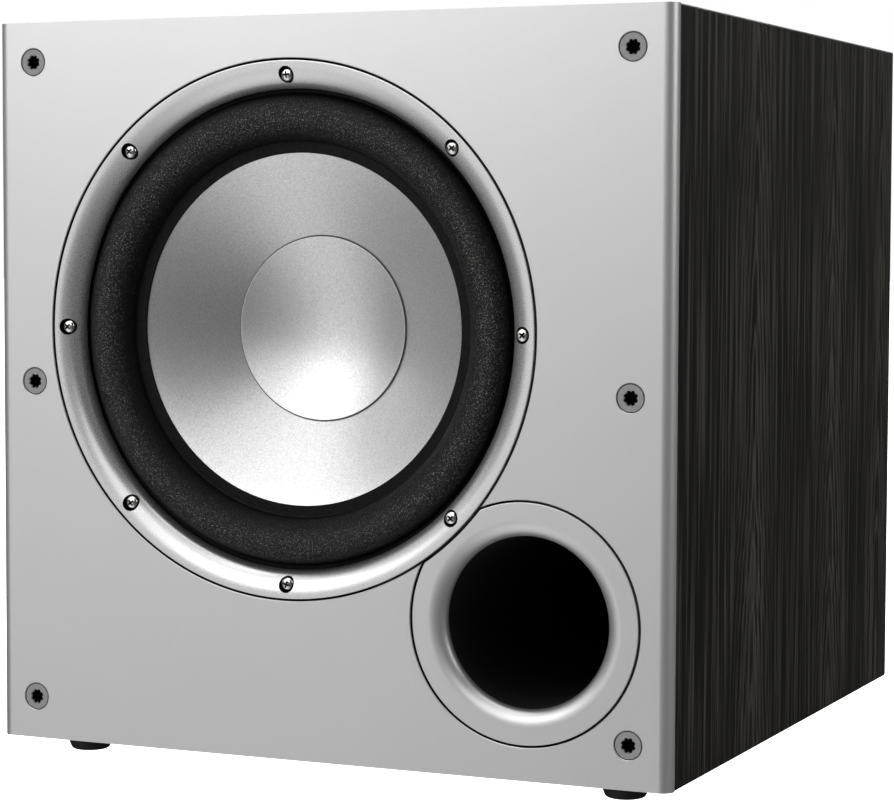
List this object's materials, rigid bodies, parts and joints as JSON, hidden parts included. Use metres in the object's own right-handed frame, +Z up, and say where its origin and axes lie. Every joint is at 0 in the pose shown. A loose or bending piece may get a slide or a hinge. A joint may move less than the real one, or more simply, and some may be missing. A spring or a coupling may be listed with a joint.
{
  "type": "subwoofer",
  "caption": "Powered cube subwoofer: silver front with a dished-cone driver in a foam surround and a round port, black ash veneered cabinet, rear amplifier plate.",
  "frame": {"origin": "centre of the overall box, on the surface that the feet stand on", "axes": "+Z up, -Y the front with the driver and port, +X to the right as seen from the front"},
  "size_m": [0.3556, 0.3948, 0.3651],
  "materials": {
    "veneer": "black ash veneer, open vertical grain, satin",
    "fibreboard": "bare fibreboard",
    "silver_front": "fine satin silver paint",
    "ring_silver": "satin silver",
    "cone_silver": "satin metallised cone",
    "surround_foam": "matt speckled foam",
    "black_plastic": "fine textured black",
    "socket_grey": "satin mid grey",
    "rubber": "matt black rubber",
    "cast_alloy": "dark grey cast frame",
    "steel": "bright zinc",
    "ferrite": "dark ceramic magnet",
    "copper": "enamelled copper",
    "former_paper": "coil former board",
    "spider_cloth": "impregnated cotton",
    "circuit_board": "green solder mask",
    "plate_black": "black powder coat",
    "black_anodised": "black anodised extrusion",
    "gold_plate": "gold plated",
    "lamp_green": "clear green lens",
    "wadding": "open-cell foam"
  },
  "bodies": {
    "cabinet": {"left_side_panel": "veneer", "right_side_panel": "veneer", "top_panel": "veneer", "bottom_panel": "veneer", "rear_panel": "veneer", "front_baffle": "fibreboard", "cross_brace": "fibreboard", "front_fascia": "silver_front", "port_flange": "silver_front", "driver_trim_ring": "ring_silver", "surround": "surround_foam", "port_tube": "black_plastic", "terminal_board": "black_plastic", "smoothing_capacitor_a": "black_plastic", "smoothing_capacitor_b": "black_plastic", "mains_inlet": "black_plastic", "grille_socket_top_left": "socket_grey", "grille_socket_top_right": "socket_grey", "grille_socket_middle_left": "socket_grey", "grille_socket_middle_right": "socket_grey", "grille_socket_bottom_left": "socket_grey", "grille_socket_bottom_right": "socket_grey", "driver_gasket": "rubber", "driver_cable": "rubber", "foot_front_left": "rubber", "foot_front_right": "rubber", "foot_rear_left": "rubber", "foot_rear_right": "rubber", "driver_basket": "cast_alloy", "top_plate": "steel", "pole_yoke": "steel", "driver_screw_1": "steel", "driver_screw_2": "steel", "driver_screw_3": "steel", "driver_screw_4": "steel", "driver_screw_5": "steel", "driver_screw_6": "steel", "driver_screw_7": "steel", "driver_screw_8": "steel", "magnet": "ferrite", "tinsel_lead_a": "copper", "tinsel_lead_b": "copper", "transformer": "copper", "spider": "spider_cloth", "amplifier_board": "circuit_board", "amplifier_plate": "plate_black", "heat_sink": "black_anodised", "line_input_left": "gold_plate", "line_input_right": "gold_plate", "status_lamp": "lamp_green", "damping_foam": "wadding"},
    "cone_assembly": {"cone": "cone_silver", "dust_cap": "cone_silver", "voice_coil_former": "former_paper", "voice_coil_winding": "copper"},
    "volume_knob": {"volume_knob": "black_plastic"},
    "crossover_knob": {"crossover_knob": "black_plastic"},
    "phase_switch": {"phase_switch": "black_plastic"},
    "mode_switch": {"mode_switch": "black_plastic"},
    "power_rocker": {"power_rocker": "black_plastic"}
  },
  "joints": [
    {"name": "cone_travel", "type": "slide", "parent": "cabinet", "child": "cone_assembly", "axis": [0, -1, 0], "range_m": [-0.008, 0.008], "stiffness_N_per_m": 3300, "deforming": ["surround", "spider", "tinsel_lead_a", "tinsel_lead_b"]},
    {"name": "volume_turn", "type": "hinge", "parent": "cabinet", "child": "volume_knob", "pos_m": [0.06, 0.1754, 0.2915], "axis": [0, 1, 0], "range_deg": [-150, 150]},
    {"name": "crossover_turn", "type": "hinge", "parent": "cabinet", "child": "crossover_knob", "pos_m": [0.01, 0.1754, 0.2915], "axis": [0, 1, 0], "range_deg": [-150, 150]},
    {"name": "phase_slide", "type": "slide", "parent": "cabinet", "child": "phase_switch", "axis": [0, 0, 1], "range_m": [0, 0.005]},
    {"name": "mode_slide", "type": "slide", "parent": "cabinet", "child": "mode_switch", "axis": [0, 0, 1], "range_m": [-0.003, 0.003]},
    {"name": "power_tilt", "type": "hinge", "parent": "cabinet", "child": "power_rocker", "pos_m": [-0.028, 0.1734, 0.0895], "axis": [1, 0, 0], "range_deg": [0, 16]}
  ]
}
